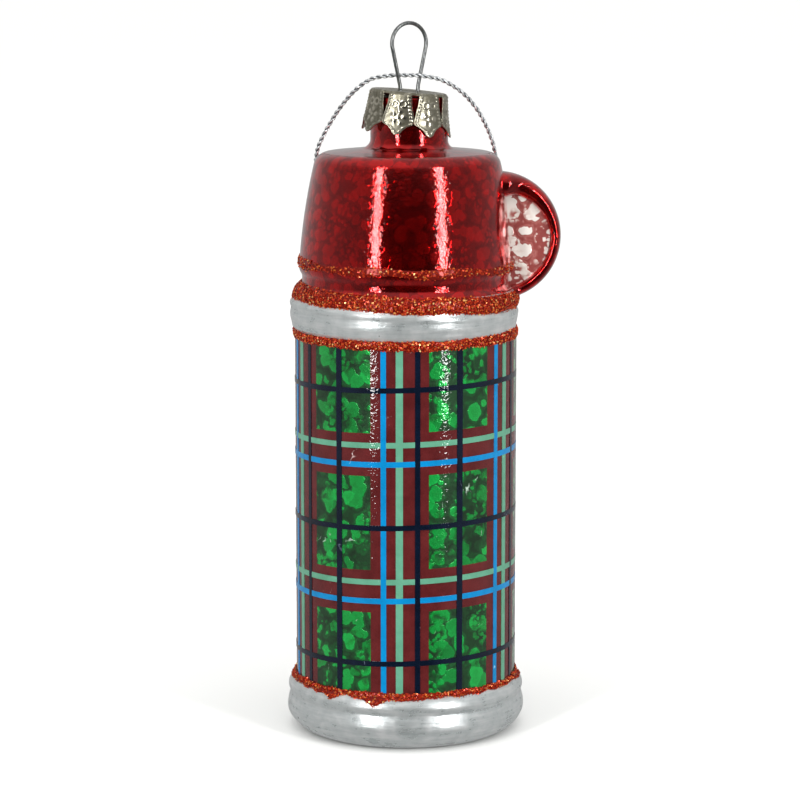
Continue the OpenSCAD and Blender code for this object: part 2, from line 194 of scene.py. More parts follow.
def two_ply_tube(line, middle, closed=True, sides=20):
    """Points of a twisted tube, and how near each is to a ply's crown. At each turn angle a of
    the section the surface is where a ray leaves the nearer of two circles: distance =
    out * |cos a| + sqrt(r^2 - out^2 sin^2 a). The section makes a full turn every pitch.
    """
    if closed:
        along = unit(np.roll(line, -1, 0) - np.roll(line, 1, 0))
    else:
        along = unit(np.gradient(line, axis=0))
    side = unit(np.cross(along, line - middle))
    up = np.cross(side, along)
    step = np.linalg.norm(np.diff(line, axis=0, append=line[:1] if closed else line[-1:]), axis=1)
    travelled = np.concatenate([[0], np.cumsum(step)[:-1]])
    half_turns = round(2 * step.sum() / ply_pitch)
    twist = np.pi * half_turns * travelled / step.sum()
    a = np.arange(sides) * 2 * np.pi / sides
    reach = ply_out * np.abs(np.cos(a)) + np.sqrt(ply_r**2 - (ply_out * np.sin(a))**2)
    turned = a[None, :] + twist[:, None]
    points = (line[:, None, :] + (reach * np.cos(turned))[..., None] * up[:, None, :]
              + (reach * np.sin(turned))[..., None] * side[:, None, :])
    return points, np.broadcast_to(np.abs(np.cos(a)), turned.shape)


tube, ply_crown = two_ply_tube(cord_line, np.array([0, 8, 90]))
hang_cord = new_piece(
    "hang_cord_twist", tube.reshape(-1, 3), quads(tube.shape[0], tube.shape[1], True, True), "cord_loop",
    ["hang_cord"], values={"crown": ply_crown.ravel()})

# %% [markdown]
# The two ends of the loop are tied together in one overhand knot, and two short cut ends
# stand out below it. A ball would pass from afar, but a real knot is three crossings of the
# same cord, so its line is a trefoil: a circle walked round twice while it weaves in and out.

# %% Knot
knot_scale, tail_l = 0.29, 6.2
turn = np.linspace(0, 2 * np.pi, 160, endpoint=False)
trefoil = np.stack([
    np.sin(turn) + 2 * np.sin(2 * turn), -1.5 * np.sin(3 * turn), np.cos(turn) - 2 * np.cos(2 * turn)], -1)
strands = [(two_ply_tube(knot_at + trefoil * knot_scale, knot_at + [0, 0, 0.001]), True)]
for lean, sway in ((-14, -0.3), (9, 0.35)):
    drop = np.linspace(0, 1, 40)[:, None]
    way = np.array([math.sin(math.radians(lean)), 0, -math.cos(math.radians(lean))])
    tail_line = knot_at + drop * tail_l * way + np.array([sway, 0.5, 0]) * np.sin(drop * np.pi) ** 2
    strands.append((two_ply_tube(tail_line, knot_at + [0, -5, 0], closed=False), False))
knot_points, knot_faces, crowns, start = [], [], [], 0
for (grid, crown), closed in strands:
    rows, columns, _ = grid.shape
    knot_points.append(grid.reshape(-1, 3))
    crowns.append(crown.ravel())
    if closed:
        knot_faces += quads(rows, columns, True, True, start).tolist()
    else:
        knot_faces += tube_faces(rows, columns, start)
    start += rows * columns
cord_knot = new_piece(
    "cord_knot_tied", np.concatenate(knot_points), knot_faces, "cord_loop", ["cord_knot"],
    values={"crown": np.concatenate(crowns)})

# %% [markdown]
# ## Studio
# Mirrored glass shows little but the room around it, so the room is half of the finish. It
# could be a panorama of a real room, but a ramp of greys is small and easy to change: dark
# in front, where the viewer stands, and grey at the sides, behind and overhead. That gives
# the flask its dark middle and its paler sides. Two helpers come first, one for colours and
# one for nodes, because the room is made of nodes as every finish is.

# %% Colours and nodes
def linear(hex_colour):
    """Linear colour of an sRGB hex value: a channel below 0.04045 is divided by 12.92, a
    brighter one is ((c + 0.055) / 1.055) to the power 2.4.
    """
    channels = [int(hex_colour[i:i + 2], 16) / 255 for i in (1, 3, 5)]
    return [c / 12.92 if c < 0.04045 else ((c + 0.055) / 1.055) ** 2.4 for c in channels] + [1]


def feed(tree, node, inputs):
    """Gives each named input of a node a number, a colour or another node's output."""
    for key, value in inputs.items():
        if isinstance(value, bpy.types.NodeSocket):
            tree.links.new(value, node.inputs[key])
        else:
            node.inputs[key].default_value = value


def add(tree, kind, inputs=None, stops=None, **settings):
    """Adds a node to a tree: settings are its own properties, inputs are what feed gives it,
    and stops are the places and colours of a colour ramp.
    """
    node = tree.nodes.new("ShaderNode" + kind)
    for key, value in settings.items():
        setattr(node, key, value)
    feed(tree, node, inputs or {})
    if stops:
        marks = node.color_ramp.elements
        while len(marks) < len(stops):
            marks.new(1)
        for mark, (place, colour) in zip(marks, stops):
            mark.position = place
            mark.color = linear(colour) if isinstance(colour, str) else (colour, colour, colour, 1)
    return node


# The colour sockets of a Mix node, which has three sets of sockets under the same names
COLOUR_A, COLOUR_B, COLOUR_OUT = 6, 7, 2

# %% Room
room = bpy.data.worlds.new("studio_room")
room.use_nodes = True
bpy.context.scene.world = room
tree = room.node_tree
# Brightness from straight in front (0) to straight behind (1)
greys = [(0, 0.012), (0.05, 0.02), (0.16, 0.16), (0.5, 0.28), (0.8, 0.34), (1, 0.4)]
ceiling_grey = 0.5
aim = add(tree, "SeparateXYZ", {"Vector": add(tree, "TexCoord").outputs["Generated"]})
depth = add(tree, "MapRange", {"Value": aim.outputs["Y"], "From Min": -1, "From Max": 1})
around = add(tree, "ValToRGB", {"Fac": depth.outputs["Result"]}, stops=greys)
overhead = add(
    tree, "MapRange", {"Value": aim.outputs["Z"], "From Min": 0.2, "From Max": 0.9},
    interpolation_type="SMOOTHSTEP")
blend = add(
    tree, "Mix",
    {0: overhead.outputs["Result"], COLOUR_A: around.outputs["Color"], COLOUR_B: (*[ceiling_grey] * 3, 1)},
    data_type="RGBA")
feed(tree, tree.nodes["Background"], {"Color": blend.outputs[COLOUR_OUT]})
print("room", greys[0][1], "in front,", greys[-1][1], "behind,", ceiling_grey, "overhead")

# %% [markdown]
# ### Strip lamps
# The two bright strips down the cup and the wrap are tall narrow softboxes, one on each side
# of the viewer. They could be glowing planes, but area lamps also light the paint and can be
# hidden from the camera. Their azimuths set where the strips lie on the round form.

# %% Lamps
def strip_lamp(name, azimuth, distance, width, height, middle, power):
    """A tall narrow lamp at an azimuth from the front, facing the flask."""
    data = bpy.data.lights.new(name, "AREA")
    data.shape = "RECTANGLE"
    data.size, data.size_y = width, height
    data.energy = power
    lamp = bpy.data.objects.new(name, data)
    a = math.radians(azimuth)
    lamp.location = (distance * math.sin(a), -distance * math.cos(a), middle)
    lamp.rotation_euler = (math.pi / 2, 0, a)
    lamp.visible_camera = False
    bpy.context.scene.collection.objects.link(lamp)
    print(name, [round(v, 2) for v in lamp.location], power, "W")


strip_lamp("left_strip", azimuth=-33, distance=1.0, width=0.06, height=0.9, middle=0.38, power=4.4)
strip_lamp("right_strip", azimuth=41, distance=1.0, width=0.065, height=0.91, middle=0.385, power=5.0)

# %% [markdown]
# ### Soft light from above
# Paint, ink and floor need more light than the dim room gives. A brighter room would make
# the mirrored glass milky, so a very wide sun stands in for a far pale ceiling. It lights
# matt surfaces and is left out of reflections.

# %% Soft light from above
data = bpy.data.lights.new("soft_ceiling", "SUN")
data.angle = math.radians(110)
data.energy = 2.5
ceiling = bpy.data.objects.new("soft_ceiling", data)
ceiling.rotation_euler = (math.radians(18), 0, 0)
ceiling.visible_glossy = False
bpy.context.scene.collection.objects.link(ceiling)
print("soft ceiling", round(math.degrees(data.angle)), "degrees wide")

# %% [markdown]
# ### Floor
# The flask stands on a sheet of white paper. A plane would do, but a wide disc has no near
# edge in any view. It is left out of reflections too, so that the silver keeps its shape.

# %% Floor
floor_r, floor_sides = 12.0, 96
ring_r = np.array([0, 0.3, 1, 4, floor_r])[:, None]
ring_a = np.linspace(0, 2 * np.pi, floor_sides, endpoint=False)[None, :]
floor_points = np.stack([ring_r * np.cos(ring_a), ring_r * np.sin(ring_a), 0 * ring_r * ring_a], -1)
floor_faces = quads(len(ring_r), floor_sides, wrap_columns=True)[:, ::-1]
floor_mesh = bpy.data.meshes.new("studio_floor")
floor_mesh.from_pydata(floor_points.reshape(-1, 3).tolist(), [], floor_faces.tolist())
floor = bpy.data.objects.new("studio_floor", floor_mesh)
bpy.context.scene.collection.objects.link(floor)
floor.visible_glossy = False
paper = bpy.data.materials.new("white_paper")
paper.use_nodes = True
feed(
    paper.node_tree, paper.node_tree.nodes["Principled BSDF"],
    {"Base Color": linear("#f4f4f2"), "Roughness": 0.9})
floor_mesh.materials.append(paper)
bpy.context.scene.view_settings.view_transform = "Standard"
print("floor", 2 * floor_r, "m across")

# %% [markdown]
# ## Turned form
# Everything that is painted or glued on the glass follows its outline. It could be a drawn
# curve that is spun, but paint and glitter need its radius at any height. So the outline is
# a stack of arcs and walls, and the radius at a height is the greatest of them. A soft
# greatest rounds the creases between them, as blown glass does in its mould.

# %% Outline of the glass
body_r, wrap_r, coat_t = 20.2, 20.5, 0.1
foot_z, base_top, collar_bottom, collar_top = 4.65, 10.1, 74.9, 82.1
# Rings: radius and height of the arc's centre, and the arc's own radius
foot_corner, base_bead, collar_bead = (17.29, foot_z, 4.55), (19.53, 8.1, 2.1), (15.37, 77.7, 5)
ledge, cup_bead = (16.37, 80.5, 4), (17.35, 86.6, 2.2)
# Upright walls: radius, and the heights where it starts and ends
base_wall, wrap_wall, cup_foot = (21.4, foot_z, 8.1), (body_r, foot_z, 80.5), (body_r - 1.24, 80.5, 87)
# The cup's wall is one long flat arc between two heights
cup_wall, cup_low, cup_high = (-100.22, 78.4, 120), 86.75, 106
absent = -50  # stands for the radius of a part at a height that it doesn't reach


def ring_arc(z, arc, grow):
    """Radius of a round ring at height z: centre_r + sqrt(radius^2 - (z - centre_z)^2), and
    absent where the ring has ended.
    """
    centre_r, centre_z, radius = arc
    inside = (radius + grow)**2 - (z - centre_z)**2
    return np.where(inside > -1e-6, centre_r + np.sqrt(np.maximum(inside, 0)), absent)


def outline(z, grow=0.0, soft=0.05):
    """Radius of the form at height z, moved out by grow: soft times the log of the sum of
    exp(part / soft) over its rings and walls.
    """
    z = np.asarray(z, float)
    parts = [ring_arc(z, arc, grow) for arc in (foot_corner, base_bead, collar_bead, ledge, cup_bead)]
    for radius, low, high in (base_wall, wrap_wall, cup_foot):
        parts.append(np.where((z >= low) & (z <= high), radius + grow, absent))
    parts.append(np.where((z >= cup_low) & (z < cup_high), ring_arc(z, cup_wall, grow), absent))
    parts = np.stack(parts)
    top = parts.max(0)
    return top + soft * np.log(np.exp((parts - top) / soft).sum(0))


def waves(angle, z, seed, count=24, finest=60, rise=0.5):
    """Soft noise round the form: the sum of sines with whole numbers of turns round it and
    random slopes up it, between about -1 and 1.
    """
    dice = np.random.default_rng(seed)
    turns = dice.integers(1, finest, count)
    slopes, starts = dice.normal(0, rise, count), dice.uniform(0, 2 * np.pi, count)
    angle, z = np.broadcast_arrays(angle, z)
    return np.sin(turns * angle[..., None] + slopes * z[..., None] + starts).sum(-1) / math.sqrt(count)


def bell(x, width):
    """A smooth hump: exp(-(x / width)^2)."""
    return np.exp(-(x / width) ** 2)


def turned(radius, angle, z):
    """Points at a radius, an azimuth from the front (-Y) towards +X, and a height."""
    radius, angle, z = np.broadcast_arrays(radius, angle, z)
    return np.stack([radius * np.sin(angle), -radius * np.cos(angle), z], -1)


angle = np.linspace(-np.pi, np.pi, 240, endpoint=False)[:, None]
print("outline", np.round(outline([1, 4.65, 8.1, 40, 78, 80.5, 84, 86.6, 95]), 2))

# %% [markdown]
# ## Silver coats
# Base and collar are brushed with silver paint by hand over beads that were blown in a
# mould. A plain turned ring looks machined, so each coat is a thin shell between the glass
# and a surface that stands out a little more here and there, with soft beads that wander.

# %% Silver coat of the base
corner = foot_z * (1 - np.cos(np.linspace(0, np.pi / 2, 30)))
rise = np.concatenate([corner, np.linspace(foot_z, base_top, 44)[1:]])
z_out = rise[None, :] + 0 * angle
wander = 0.25 * waves(angle, 0, 3, finest=5)
swell = 0.05 + 0.04 * waves(angle, z_out, 4, finest=9, rise=0.6)
bead_low = 0.16 * bell(z_out - 3.6 - wander, 1.5)
bead_high = 0.10 * bell(z_out - 8.2 - wander, 0.9)
fade = np.clip(z_out / 2.0, 0, 1)
r_out = outline(z_out, coat_t, 0.10) + fade * np.maximum(swell + bead_low + bead_high, 0)
z_in = coat_t + z_out * (base_top - coat_t) / base_top
r_in = outline(z_in, 0, 0.05)
disc = np.array([0, 5, 10, 14, 16.5])[None, :] + 0 * angle
outer = np.concatenate([turned(disc, angle, 0), turned(r_out, angle, z_out)], 1)
inner = np.concatenate([turned(disc, angle, coat_t), turned(r_in, angle, z_in)], 1)
points, faces = sheet_solid(outer, inner, wrap_rows=True, closed_start=True)
base_coat = new_piece(
    "base_silver_paint", points, faces, "ornament", ["silver_base_coat"], weld=True)

# %% [markdown]
# ### Collar
# The collar is a rounded band whose upper edge leans: the paint was laid a little higher on
# the left. Its beads follow that lean, and the coat fades to nothing at both edges, so that
# the glitter's glue covers a thin clean edge.

# %% Silver coat of the collar
z_out = np.linspace(collar_bottom, collar_top + 0.4, 60)[None, :] + 0 * angle
wander = 0.4 * waves(angle, 0, 7, finest=5)
lean_left = 0.28 * (1 - np.sin(angle))
swell = 0.05 + 0.05 * waves(angle, z_out, 8, finest=8, rise=0.5)
bead_low = 0.16 * bell(z_out - 77.3 - wander, 1.3)
bead_z = 79.1 - 0.7 * np.sin(angle)
bead_high = 0.24 * bell(z_out - bead_z, 0.65)
fade = np.clip((z_out - collar_bottom) / 0.8, 0, 1) * np.clip((bead_z + 1.5 - z_out) / 1.1, 0, 1)
r_out = outline(z_out, coat_t, 0.08) + fade * np.maximum(swell + bead_low + bead_high + lean_left, 0)
outer = turned(r_out, angle, z_out)
inner = turned(outline(z_out, 0, 0.02), angle, z_out)
points, faces = sheet_solid(outer, inner, wrap_rows=True)
collar_coat = new_piece(
    "collar_silver_paint", points, faces, "ornament", ["silver_collar_coat"])

# %% [markdown]
# ## Blown glass and red lacquer
# The glass is blown in a two-part mould: a flask, a cup with a slightly leaning neck, and a
# mug's handle with a thin web left inside its loop. The red lacquer lies on the cup and on
# the handle's rim only. Both pieces come from the same functions, the lacquer a tenth of a
# millimetre further out, so they can never cut through each other. Cup, shoulder and neck
# are one line of arcs that is turned about the axis and then pushed a little out of true.

# %% Line of the cup, shoulder and neck
corner_x, corner_z, corner_r = 14.277, 104.8, 2.5
corner_lift, top_tilt = math.radians(12.98), math.radians(5.5)
fillet_x, fillet_z, fillet_r = 8.15, 109.509, 1.6
neck_r, neck_top, lip_r = 6.55, 117.5, 0.3
cup_shift = 0.65  # how far the neck stands to the right of the axis


def ease(x):
    """Smooth step from 0 to 1: 3 x^2 - 2 x^3."""
    x = np.clip(x, 0, 1)
    return x * x * (3 - 2 * x)


def cup_line(grow):
    """Radius and height along the cup, moved out by grow: the outline up its wall, the
    shoulder's arc, the sloped top, the fillet and the neck, which is a little wider at its foot.
    """
    wall_z = np.linspace(collar_top, corner_z + (corner_r + grow) * math.sin(corner_lift), 70)
    a = np.linspace(corner_lift, np.pi / 2 - top_tilt, 14)[1:]
    b = np.radians(np.linspace(264.5, 180, 12))
    round_r = fillet_r - grow
    neck_z = np.linspace(fillet_z, neck_top - lip_r, 18)[1:]
    lip = np.linspace(0, np.pi / 2, 6)[1:]
    r = [outline(wall_z, grow), corner_x + (corner_r + grow) * np.cos(a), fillet_x + round_r * np.cos(b),
         neck_r + grow + 0 * neck_z, neck_r + grow - lip_r * (1 - np.cos(lip))]
    z = [wall_z, corner_z + (corner_r + grow) * np.sin(a), fillet_z + round_r * np.sin(b),
         neck_z, neck_top - lip_r + lip_r * np.sin(lip)]
    r, z = np.concatenate(r), np.concatenate(z)
    foot = (r < fillet_x + 0.5) & (z > fillet_z - 2)
    return r + np.where(foot, 0.5 * (1 - ease((z - 111) / 4.5)), 0), z


def turned_glass(r, z, angle):
    """Points of the hand-finished form: turned, a little out of round, with the cup's right
    side blown a little fuller towards its top and the neck moved to the right.
    """
    wobble = 0.05 * waves(angle, z, 71, 18, 7, 0.15) * ease((z - collar_top) / 3)
    points = turned(r + wobble, angle, z)
    height = np.broadcast_to(z, points.shape[:-1])
    neck = ease((height - 106) / 4)
    fuller = ease((height - 92) / 12) * (1 + np.sin(angle)) / 2
    points[..., 0] += cup_shift * (neck + (1 - neck) * fuller)
    return points


print("cup line of", len(cup_line(0)[0]), "points up to", neck_top, "mm")

# %% [markdown]
# ### Handle
# The handle is pressed from the same bubble of glass: a round loop with a flattened section,
# thick where it leaves the cup above and thin at the side. A torus has the same section all
# round, so here the section is carried round the loop and its thickness read from a few marks.

# %% Loop of the handle
handle_x, handle_z, handle_r = 16.7, 92.1, 11.7
loop_marks = [-118, -90, -45, 0, 45, 80, 122]
loop_half_t = [1.2, 1.0, 1.05, 0.95, 1.5, 2.0, 2.1]


def handle_loop(grow):
    """Grid round the loop. At angle p from +X the section is half_t thick along the radius and
    half_w wide along Y: radius = handle_r - half_t + half_t cos q, y = half_w sin q, with both
    made squarer by a power. It swells where it grows out of the cup.
    """
    p = np.radians(np.linspace(-118, 122, 110))[:, None]
    q = np.linspace(0, 2 * np.pi, 40, endpoint=False)[None, :]
    half_t = np.interp(p, np.radians(loop_marks), loop_half_t)
    joins = 1 - ease((handle_x + 10 * np.cos(p) - 18.6) / 2.6)
    half_t = half_t + 0.3 * joins + grow
    half_w = 2.75 + 1.1 * joins + grow
    across = np.sign(np.cos(q)) * np.abs(np.cos(q)) ** 0.8
    beside = np.sign(np.sin(q)) * np.abs(np.sin(q)) ** 0.9
    radius = handle_r + grow - half_t + half_t * across
    return np.stack([handle_x + radius * np.cos(p), half_w * beside, handle_z + radius * np.sin(p)], -1)


loop_rows, loop_columns, _ = handle_loop(0).shape
print("handle", 2 * handle_r, "mm across,", loop_rows, "sections")

# %% [markdown]
# ### Lacquer
# Red lacquer is dipped on, so it wraps the cup, the neck and the handle's loop in one thin
# skin. A second material on the glass would colour it as well, but then the skin would have
# no edge of its own above the silver collar.

# %% Lacquer on cup and handle
line_out, line_in = cup_line(coat_t), cup_line(-0.02)
outer, inner = (turned_glass(r[None, :], z[None, :], angle) for r, z in (line_out, line_in))
points, faces = sheet_solid(outer, inner, wrap_rows=True)
lacquer = new_piece(
    "red_lacquer_coat", np.concatenate([points, handle_loop(coat_t).reshape(-1, 3)]),
    faces.tolist() + tube_faces(loop_rows, loop_columns, len(points)),
    "ornament", ["red_lacquer"])

# %% [markdown]
# ### Glass
# Under wrap, paint and lacquer lies the blown bubble itself, closed below and open at the
# neck. It is hardly seen but in the handle's web, a pane as thin as a leaf with soft hollows
# where the two halves of the mould nearly met. So the wall is a plain turned sheet, on half
# as many angles, and the web is a disc whose two faces carry the hollows.

# %% Glass with its handle and web
glass_t, web_r, web_half_t = 0.8, 10.2, 1.0
corner = foot_z - 4.52 * np.cos(np.linspace(0, np.pi / 2, 20))
rise = np.concatenate([corner, np.linspace(foot_z, collar_top, 70)[1:-1]])
cup_r, cup_z = cup_line(-0.03)
glass_r = np.concatenate([[0, 6, 12, 16.5], outline(rise, -0.03), cup_r])
glass_z = np.concatenate([[0.12] * 4, rise, cup_z])
inner_r, inner_z = np.maximum(glass_r - glass_t, 0), np.maximum(glass_z, 0.9)
outer = turned_glass(glass_r[None, :], glass_z[None, :], angle[::2])
inner = turned_glass(inner_r[None, :], inner_z[None, :], angle[::2])
points, faces = sheet_solid(outer, inner, wrap_rows=True, closed_start=True)
p = np.linspace(0, 2 * np.pi, 180, endpoint=False)[:, None]
share = np.sin(np.linspace(0, np.pi / 2, 26))[None, :]
web_x, web_z = handle_x + web_r * share * np.cos(p), handle_z + web_r * share * np.sin(p)
# Hollows: a product of two sines that bend each other, and that fade towards the loop
hollows = (0.16 * np.sin(1.1 * web_x + 0.9 * np.sin(0.8 * web_z))
           * np.sin(1.0 * web_z + 1.3 * np.sin(0.6 * web_x)) * (1 - share**6))
front = np.stack([web_x, -web_half_t - hollows - 0.5 * share**4, web_z], -1)
back = np.stack([web_x, web_half_t + hollows + 0.5 * share**4, web_z], -1)
web_points, web_faces = sheet_solid(front, back, wrap_rows=True, closed_start=True)
web_start = len(points) + loop_rows * loop_columns
glass = new_piece(
    "blown_glass", np.concatenate([points, handle_loop(-0.05).reshape(-1, 3), web_points]),
    faces.tolist() + tube_faces(loop_rows, loop_columns, len(points)) + (web_faces + web_start).tolist(),
    "ornament", ["glass_body"], weld=True)

# %% [markdown]
# ## Glitter bands
# Four bands of red glitter hide the edges of the paint and the wrap. A maker draws a bead
# of glue and dips it in glitter: hexagons punched from metallised film, 0.3 mm across, that
# lie at every tilt. A bump map can't glint like that, so each band is a lumpy bead of glue
# with thousands of tiny six-sided plates on it. Each plate carries its own tint.

# %% Flakes
flake_r, flake_t, flake_tilt = 0.17, 0.03, 0.42


def flakes(centres, facing, dice):
    """Six-sided plates. Each plate's normal is its facing direction plus a random vector of
    length about flake_tilt, and its corners are centre + r (cos a, sin a) in the plate's plane,
    on two levels.
    """
    count = len(centres)
    normal = unit(facing + flake_tilt * dice.normal(size=(count, 3)))
    across = unit(np.cross(normal, dice.normal(size=(count, 3))))
    beside = np.cross(normal, across)
    a = np.arange(6) * np.pi / 3
    size = flake_r * dice.uniform(0.65, 1.15, count)[:, None, None]
    rim = size * (np.cos(a)[None, :, None] * across[:, None] + np.sin(a)[None, :, None] * beside[:, None])
    top = centres[:, None] + rim + normal[:, None] * flake_t / 2
    points = np.concatenate([top, top - normal[:, None] * flake_t], 1).reshape(-1, 3)
    ring = np.arange(6)
    after = (ring + 1) % 6
    first = (np.arange(count) * 12)[:, None]
    faces = (first + ring).tolist() + (first + 6 + ring[::-1]).tolist()
    sides = np.stack([after, ring, ring + 6, after + 6], -1)[None] + first[:, :, None]
    return points, faces + sides.reshape(-1, 4).tolist()


print("flakes", 2 * flake_r, "mm across")

# %% Glue with flakes on it
def glitter_band(name, node, low, high, ground, thick, count, seed):
    """A bead of glue from height low to high, both functions of the azimuth. At a share v of
    the way up it stands out from the ground by thick * sqrt(4 v (1 - v)), times soft noise, and
    flakes lie on it at random.
    """
    dice = np.random.default_rng(seed)
    angle = np.linspace(-np.pi, np.pi, 500, endpoint=False)[:, None]

    def bead(angle, v):
        """Radius and height of the glue at an azimuth and a share of the way up."""
        z = low(angle) + v * (high(angle) - low(angle))
        crest = np.sqrt(np.clip(4 * v * (1 - v), 0, 1))
        lumps = 0.8 + 0.3 * waves(angle, z, seed + 1, finest=150, rise=3)
        return ground(z) + thick * crest * np.clip(lumps, 0.25, 1.5), z

    r_out, z_out = bead(angle, np.linspace(0, 1, 9)[None, :])
    outer, inner = turned(r_out, angle, z_out), turned(ground(z_out) - 0.05, angle, z_out)
    glue, glue_faces = sheet_solid(outer, inner, wrap_rows=True)
    where = dice.uniform(-np.pi, np.pi, count)
    share = np.clip(dice.beta(1.1, 1.1, count) * 1.16 - 0.08, -0.1, 1.1)
    r, z = bead(where, share)
    centres = turned(r + 0.04 + dice.uniform(0, 0.09, count), where, z)
    facing = unit(turned(np.ones(count), where, 1.3 * (share - 0.5)))
    plates, plate_faces = flakes(centres, facing, dice)
    plate_faces = [[k + len(glue) for k in f] for f in plate_faces]
    tint = np.concatenate([np.zeros(len(glue)), np.repeat(dice.uniform(0.1, 1, count), 12)])
    band = new_piece(
        name, np.concatenate([glue, plates]), glue_faces.tolist() + plate_faces, "ornament", [node],
        values={"tint": tint})
    band.data.polygons.foreach_set("use_smooth", np.arange(len(band.data.polygons)) < len(glue_faces))
    return band

# %% What the bands lie on
def drip(angle, at, width, deep):
    """A run of glue at an azimuth in degrees: a hump of a width in degrees."""
    return deep * bell(np.degrees(angle) - at, width)


def on_coat(z):
    """Radius of a bead that lies on lacquer or paint."""
    return outline(z, coat_t + 0.05)


def on_bead(z):
    """Radius of a bead that lies on the collar's own raised bead."""
    return outline(z, coat_t + 0.16)


def on_wrap_edge(z):
    """Radius of a bead that lies half on the wrap and half on paint: the greater of the two."""
    beside_wrap = (z > base_top - 0.1) & (z < collar_bottom + 0.1)
    return np.maximum(outline(z, coat_t + 0.05), np.where(beside_wrap, wrap_r, 0))

# %% [markdown]
# ### Four bands
# The glue is laid by hand while the flask turns: the bead under the cup is heavy, uneven and
# leans with the collar, the one on the base has run in two places, and the line on the cup
# is no more than a thread. So every edge is its own height, a lean and some seeded noise.

# %% Four bands
glitter = [
    glitter_band(
        "glitter_under_cup", "glitter_band_under_cup",
        lambda a: 79.95 - 0.75 * np.sin(a) - 0.38 * waves(a, 0, 21, 10, 11) - 0.1 * waves(a, 0, 22, 12, 40),
        lambda a: 82.85 - 0.65 * np.sin(a) + 0.1 * waves(a, 0, 23, 10, 14),
        on_bead, thick=0.22, count=6500, seed=31),
    glitter_band(
        "glitter_under_collar", "glitter_band_under_collar",
        lambda a: 73.75 - 0.35 * np.cos(a) - 0.12 * waves(a, 0, 41, 12, 30),
        lambda a: 75.4 - 0.35 * np.cos(a) + 0.14 * waves(a, 0, 42, 12, 20),
        on_wrap_edge, thick=0.16, count=4300, seed=43),
    glitter_band(
        "glitter_on_base", "glitter_band_base",
        lambda a: (9.7 - 0.14 * waves(a, 0, 51, 12, 36) - drip(a, -40, 3.5, 0.9) - drip(a, -16, 5, 1.1)
                   + drip(a, 40, 30, 0.2)),
        lambda a: 10.75 + 0.12 * waves(a, 0, 52, 12, 26),
        on_wrap_edge, thick=0.3, count=3800, seed=53),
    glitter_band(
        "glitter_line_on_cup", "glitter_line_cup",
        lambda a: 86.35 - 0.4 * np.sin(a) - 0.16 * waves(a, 0, 61, 10, 12),
        lambda a: 87.8 - 0.4 * np.sin(a) + 0.2 * waves(a, 0, 62, 10, 12),
        on_coat, thick=0.06, count=1500, seed=63)]

# %% [markdown]
# ## Cap
# The cap is tinplate: a disc with eight petals that are stamped with beads and a small
# flower, then folded down over the neck. It could be cut with booleans, but the embossing
# needs a dense even grid, so each petal is a sheet whose two parameters run across it and
# down it, and the relief is added along its thickness.

# %% Place of the cap
cap_r, cap_t, disc_z = 7.0, 0.25, 118.46
cap_lean, eye_turn = math.radians(5), math.radians(32)
petal_count, petal_from, petal_l, petal_half_w, petal_flare = 8, -12.5, 7.7, 3.0, 1.35


def leaned(points):
    """Points of the cap in its own frame, leaned about the Y axis and lifted to the disc's height."""
    x, y, z = points[..., 0], points[..., 1], points[..., 2]
    c, s = math.cos(cap_lean), math.sin(cap_lean)
    return np.stack([x * c + z * s + cup_shift, y, -x * s + z * c + disc_z], -1)


print("cap of", petal_count, "petals, leaned", round(math.degrees(cap_lean)), "degrees")

# %% Petals
def petal_relief(x, down, edge):
    """Height of the stamping: beads in a row 0.5 mm in from the edge, a five-leaved flower with
    a round heart, and a pair of curls above it.
    """
    beads = bell(edge - 0.5, 0.2) * (0.55 + 0.45 * np.cos(2 * np.pi * down / 0.62))
    from_heart, round_heart = np.hypot(x, down - 4.5), np.arctan2(down - 4.5, x)
    leaves = bell(from_heart - 1.0, 0.42) * (0.5 + 0.5 * np.cos(5 * round_heart + 0.6))
    curls = sum(bell(np.hypot(x - side * 0.75, down - 2.1) - 0.55, 0.17) for side in (-1, 1))
    stem = bell(x, 0.16) * bell(down - 2.4, 1.0)
    return 0.11 * beads + 0.13 * leaves + 0.12 * bell(from_heart, 0.3) + 0.09 * curls + 0.08 * stem


def petal(azimuth, dice):
    """Outer and inner grid of one petal. Across, x = u * half width at that depth. Down, the
    radius grows from the disc's edge to the flared tip, and the sides fall back by x^2, so the
    petal is a little curved.
    """
    u = np.sin(np.linspace(-1, 1, 49) * np.pi / 2)[None, :]
    v = np.linspace(0, 1, 65)[:, None]
    shares = [0, 0.3, 0.55, 0.68, 0.74, 0.8, 0.88, 0.95, 1.0]
    widths = [0.66, 0.76, 0.92, 1.0, 0.92, 0.58, 0.36, 0.26, 0.02]
    half = petal_half_w * np.interp(v, shares, widths)
    x, down = u * half, v * petal_l + 0 * u
    out = petal_flare * (0.55 * v + 0.45 * v**4) + dice.normal(0, 0.12) * v**2
    radius = cap_r + out - 0.42 * np.clip(1 - v / 0.07, 0, 1) ** 2 - 0.045 * x**2
    edge = np.minimum(half - np.abs(x), 1.2 * (petal_l - down))
    curl = dice.normal(0, 0.05) * x * v

    def at(depth):
        """Points of the petal at a depth under its outer face."""
        across = unit(np.array([math.cos(azimuth), math.sin(azimuth), 0]))
        away = np.array([math.sin(azimuth), -math.cos(azimuth), 0])
        fallen = np.array([0, 0, 1]) * down[..., None]
        return across * x[..., None] + away * (radius + curl - depth)[..., None] - fallen

    relief = petal_relief(x, down, edge)
    return leaned(at(-relief)), leaned(at(cap_t - 0.6 * relief)), relief


